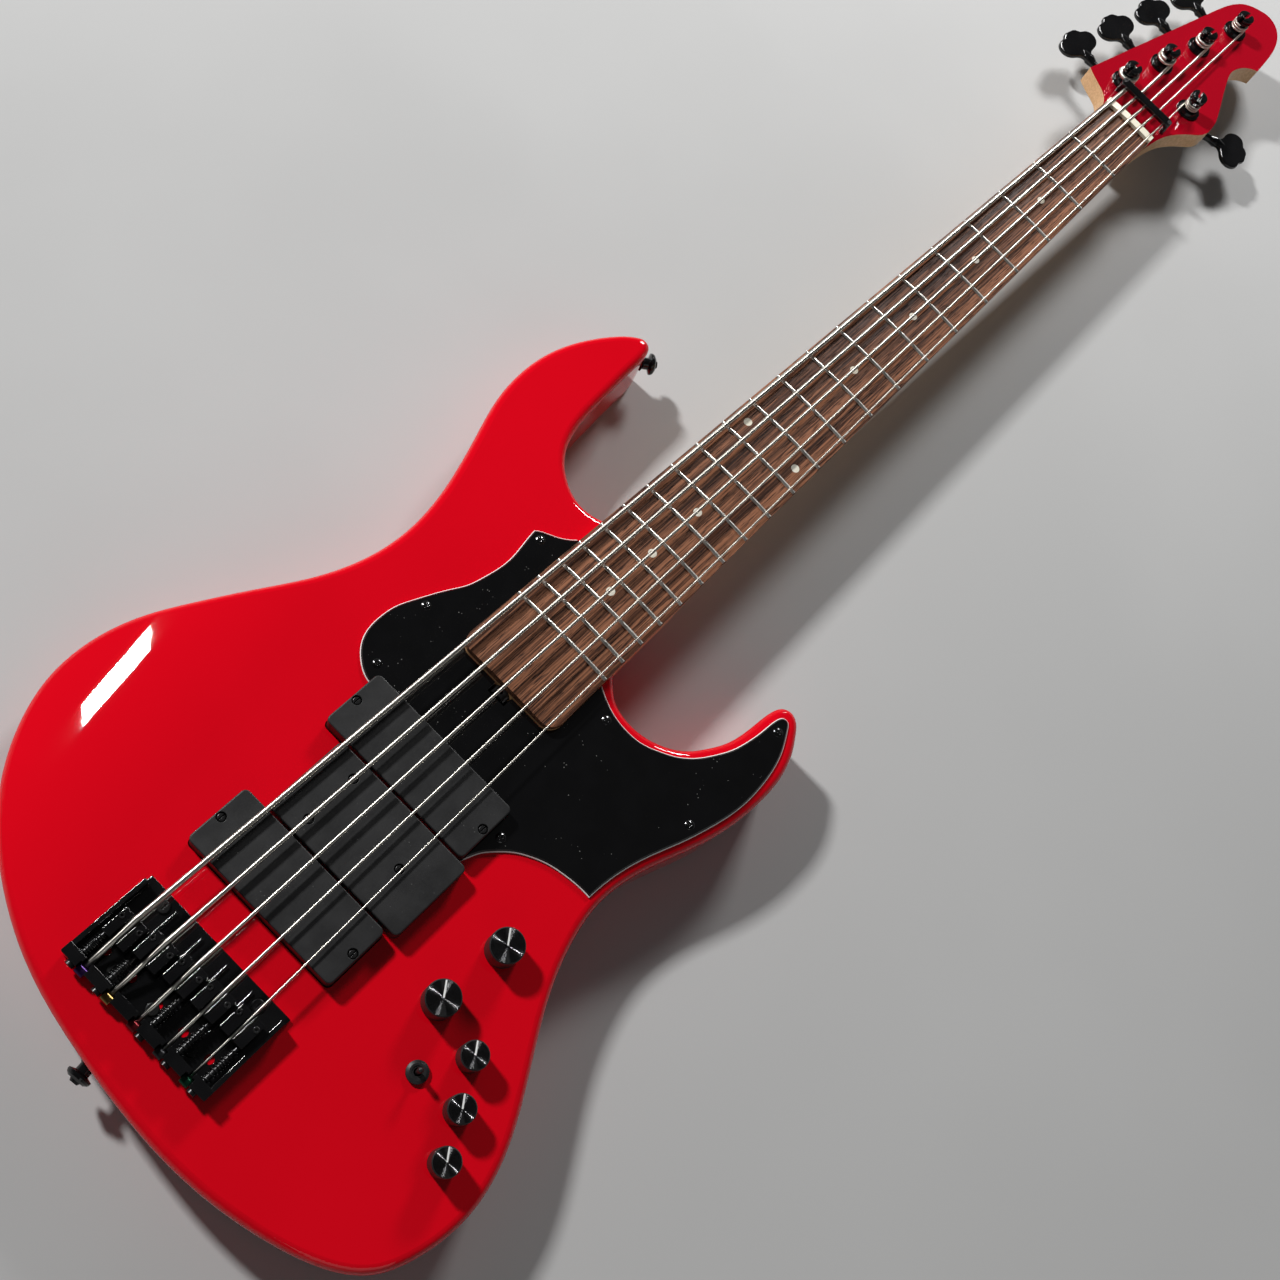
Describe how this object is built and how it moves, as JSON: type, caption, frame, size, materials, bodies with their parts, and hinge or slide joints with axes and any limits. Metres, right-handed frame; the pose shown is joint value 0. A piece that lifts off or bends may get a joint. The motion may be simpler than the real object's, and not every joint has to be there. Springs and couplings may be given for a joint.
{
  "type": "electric bass guitar",
  "caption": "Solid-body electric bass guitar with a bolt-on neck, red body, black pickguard and hardware, active controls and geared tuners.",
  "frame": {"origin": "on the flat back of the body, under the end of the scale, on the neck's centre line", "axes": "+X along the neck to the headstock, +Y to the thickest string, +Z out of the face"},
  "size_m": [1.1532, 0.3477, 0.0622],
  "materials": {
    "red_gloss": "gloss red lacquer over wood",
    "maple": "clear satin lacquer",
    "rosewood": "oiled",
    "fret_nickel": "polished nickel silver",
    "pearl": "cream inlay",
    "bone": "polished cream",
    "rod_steel": "plain steel",
    "black_metal": "gloss black plating",
    "screw_black": "black oxide",
    "guard_black": "gloss black ply",
    "cover_black": "satin black",
    "coil": "wire coil in a bobbin",
    "foam": "soft foam",
    "spring_steel": "spring steel",
    "string_nickel": "nickel-plated wound wire",
    "ball_brass": "plated",
    "module_black": "potted block",
    "battery_case": "printed steel case",
    "pot_metal": "plated",
    "knob_black": "black with a circular brushed top"
  },
  "bodies": {
    "instrument": {"body": "red_gloss", "neck": "maple", "fingerboard": "rosewood", "frets": "fret_nickel", "position_dots": "pearl", "nut": "bone", "truss_rod": "rod_steel", "neck_ferrules": "black_metal", "neck_screws": "screw_black", "pickguard": "guard_black", "cover_screws": "screw_black", "pickup_bridge": "cover_black", "pickup_neck": "cover_black", "finger_ramp": "cover_black", "pickup_screws": "screw_black", "pickup_coils": "coil", "pickup_foam": "foam", "bridge_plate": "black_metal", "bridge_screws": "screw_black", "intonation_springs": "spring_steel", "strings": "string_nickel", "string_ball_ends": "ball_brass", "string_retainer": "black_metal", "headstock_screws": "screw_black", "tuner_housings": "black_metal", "tuner_bushings": "black_metal", "strap_buttons": "black_metal", "strap_button_screws": "screw_black", "control_cover": "guard_black", "output_jack": "black_metal", "preamp_module": "module_black", "battery": "battery_case", "potentiometers": "pot_metal", "toggle_switch": "black_metal"},
    "tuner_key_1": {"tuner_key_1": "black_metal"},
    "tuner_post_1": {"tuner_post_1": "black_metal"},
    "tuner_key_2": {"tuner_key_2": "black_metal"},
    "tuner_post_2": {"tuner_post_2": "black_metal"},
    "tuner_key_3": {"tuner_key_3": "black_metal"},
    "tuner_post_3": {"tuner_post_3": "black_metal"},
    "tuner_key_4": {"tuner_key_4": "black_metal"},
    "tuner_post_4": {"tuner_post_4": "black_metal"},
    "tuner_key_5": {"tuner_key_5": "black_metal"},
    "tuner_post_5": {"tuner_post_5": "black_metal"},
    "volume_knob": {"volume_knob": "knob_black"},
    "blend_knob": {"blend_knob": "knob_black"},
    "treble_knob": {"treble_knob": "knob_black"},
    "middle_knob": {"middle_knob": "knob_black"},
    "bass_knob": {"bass_knob": "knob_black"},
    "toggle_lever": {"toggle_lever": "black_metal"},
    "saddle_1": {"saddle_1": "black_metal"},
    "intonation_screw_1": {"intonation_screw_1": "screw_black"},
    "saddle_2": {"saddle_2": "black_metal"},
    "intonation_screw_2": {"intonation_screw_2": "screw_black"},
    "saddle_3": {"saddle_3": "black_metal"},
    "intonation_screw_3": {"intonation_screw_3": "screw_black"},
    "saddle_4": {"saddle_4": "black_metal"},
    "intonation_screw_4": {"intonation_screw_4": "screw_black"},
    "saddle_5": {"saddle_5": "black_metal"},
    "intonation_screw_5": {"intonation_screw_5": "screw_black"}
  },
  "joints": [
    {"name": "key_1_turn", "type": "hinge", "parent": "instrument", "child": "tuner_key_1", "pos_m": [0.91862, 0.02333, 0.022], "axis": [0.2147, 0.9767, 0], "continuous": true},
    {"name": "post_1_turn", "type": "hinge", "parent": "instrument", "child": "tuner_post_1", "pos_m": [0.9064, 0.02602, 0.044], "axis": [0, 0, 1], "continuous": true},
    {"name": "key_2_turn", "type": "hinge", "parent": "instrument", "child": "tuner_key_2", "pos_m": [0.96164, 0.01363, 0.022], "axis": [0.2147, 0.9767, 0], "continuous": true},
    {"name": "post_2_turn", "type": "hinge", "parent": "instrument", "child": "tuner_post_2", "pos_m": [0.94941, 0.01632, 0.044], "axis": [0, 0, 1], "continuous": true},
    {"name": "key_3_turn", "type": "hinge", "parent": "instrument", "child": "tuner_key_3", "pos_m": [1.00465, 0.00422, 0.022], "axis": [0.2147, 0.9767, 0], "continuous": true},
    {"name": "post_3_turn", "type": "hinge", "parent": "instrument", "child": "tuner_post_3", "pos_m": [0.99243, 0.00691, 0.044], "axis": [0, 0, 1], "continuous": true},
    {"name": "key_4_turn", "type": "hinge", "parent": "instrument", "child": "tuner_key_4", "pos_m": [1.04766, -0.00528, 0.022], "axis": [0.2147, 0.9767, 0], "continuous": true},
    {"name": "post_4_turn", "type": "hinge", "parent": "instrument", "child": "tuner_post_4", "pos_m": [1.03544, -0.00259, 0.044], "axis": [0, 0, 1], "continuous": true},
    {"name": "key_5_turn", "type": "hinge", "parent": "instrument", "child": "tuner_key_5", "pos_m": [0.94362, -0.01876, 0.022], "axis": [0.342, -0.9397, 0], "continuous": true},
    {"name": "post_5_turn", "type": "hinge", "parent": "instrument", "child": "tuner_post_5", "pos_m": [0.93187, -0.02304, 0.044], "axis": [0, 0, 1], "continuous": true},
    {"name": "volume_knob_turn", "type": "hinge", "parent": "instrument", "child": "volume_knob", "pos_m": [0.07062, -0.09439, 0.05], "axis": [0, 0, 1], "range_deg": [-150, 150]},
    {"name": "blend_knob_turn", "type": "hinge", "parent": "instrument", "child": "blend_knob", "pos_m": [0.11182, -0.09884, 0.05], "axis": [0, 0, 1], "range_deg": [-150, 150]},
    {"name": "treble_knob_turn", "type": "hinge", "parent": "instrument", "child": "treble_knob", "pos_m": [0.06239, -0.12517, 0.05], "axis": [0, 0, 1], "range_deg": [-150, 150]},
    {"name": "middle_knob_turn", "type": "hinge", "parent": "instrument", "child": "middle_knob", "pos_m": [0.04024, -0.13851, 0.05], "axis": [0, 0, 1], "range_deg": [-150, 150]},
    {"name": "bass_knob_turn", "type": "hinge", "parent": "instrument", "child": "bass_knob", "pos_m": [0.01809, -0.15048, 0.05], "axis": [0, 0, 1], "range_deg": [-150, 150]},
    {"name": "toggle_tilt", "type": "hinge", "parent": "instrument", "child": "toggle_lever", "pos_m": [0.03921, -0.11115, 0.044], "axis": [0, 1, 0], "range_deg": [-12, 12]},
    {"name": "intonation_1_turn", "type": "hinge", "parent": "instrument", "child": "intonation_screw_1", "pos_m": [-0.041, 0.0419, 0.052], "axis": [1, 0, 0], "range_deg": [-2170, 2890]},
    {"name": "saddle_1_slide", "type": "slide", "parent": "instrument", "child": "saddle_1", "axis": [1, 0, 0], "range_m": [-0.004, 0.003], "deforming": ["intonation_springs", "strings"]},
    {"name": "intonation_2_turn", "type": "hinge", "parent": "instrument", "child": "intonation_screw_2", "pos_m": [-0.041, 0.0239, 0.052], "axis": [1, 0, 0], "range_deg": [-2170, 2890]},
    {"name": "saddle_2_slide", "type": "slide", "parent": "instrument", "child": "saddle_2", "axis": [1, 0, 0], "range_m": [-0.004, 0.003], "deforming": ["intonation_springs", "strings"]},
    {"name": "intonation_3_turn", "type": "hinge", "parent": "instrument", "child": "intonation_screw_3", "pos_m": [-0.041, -0.0059, 0.052], "axis": [1, 0, 0], "range_deg": [-2170, 2890]},
    {"name": "saddle_3_slide", "type": "slide", "parent": "instrument", "child": "saddle_3", "axis": [1, 0, 0], "range_m": [-0.004, 0.003], "deforming": ["intonation_springs", "strings"]},
    {"name": "intonation_4_turn", "type": "hinge", "parent": "instrument", "child": "intonation_screw_4", "pos_m": [-0.041, -0.0239, 0.052], "axis": [1, 0, 0], "range_deg": [-2170, 2890]},
    {"name": "saddle_4_slide", "type": "slide", "parent": "instrument", "child": "saddle_4", "axis": [1, 0, 0], "range_m": [-0.004, 0.003], "deforming": ["intonation_springs", "strings"]},
    {"name": "intonation_5_turn", "type": "hinge", "parent": "instrument", "child": "intonation_screw_5", "pos_m": [-0.041, -0.0419, 0.052], "axis": [1, 0, 0], "range_deg": [-2170, 2890]},
    {"name": "saddle_5_slide", "type": "slide", "parent": "instrument", "child": "saddle_5", "axis": [1, 0, 0], "range_m": [-0.004, 0.003], "deforming": ["intonation_springs", "strings"]}
  ],
  "couplings": [
    {"joint": "post_1_turn", "follows": "key_1_turn", "ratio": -0.05},
    {"joint": "post_2_turn", "follows": "key_2_turn", "ratio": -0.05},
    {"joint": "post_3_turn", "follows": "key_3_turn", "ratio": -0.05},
    {"joint": "post_4_turn", "follows": "key_4_turn", "ratio": -0.05},
    {"joint": "post_5_turn", "follows": "key_5_turn", "ratio": 0.05},
    {"joint": "intonation_1_turn", "follows": "saddle_1_slide", "rad_per_m": -12566},
    {"joint": "intonation_2_turn", "follows": "saddle_2_slide", "rad_per_m": -12566},
    {"joint": "intonation_3_turn", "follows": "saddle_3_slide", "rad_per_m": -12566},
    {"joint": "intonation_4_turn", "follows": "saddle_4_slide", "rad_per_m": -12566},
    {"joint": "intonation_5_turn", "follows": "saddle_5_slide", "rad_per_m": -12566}
  ]
}
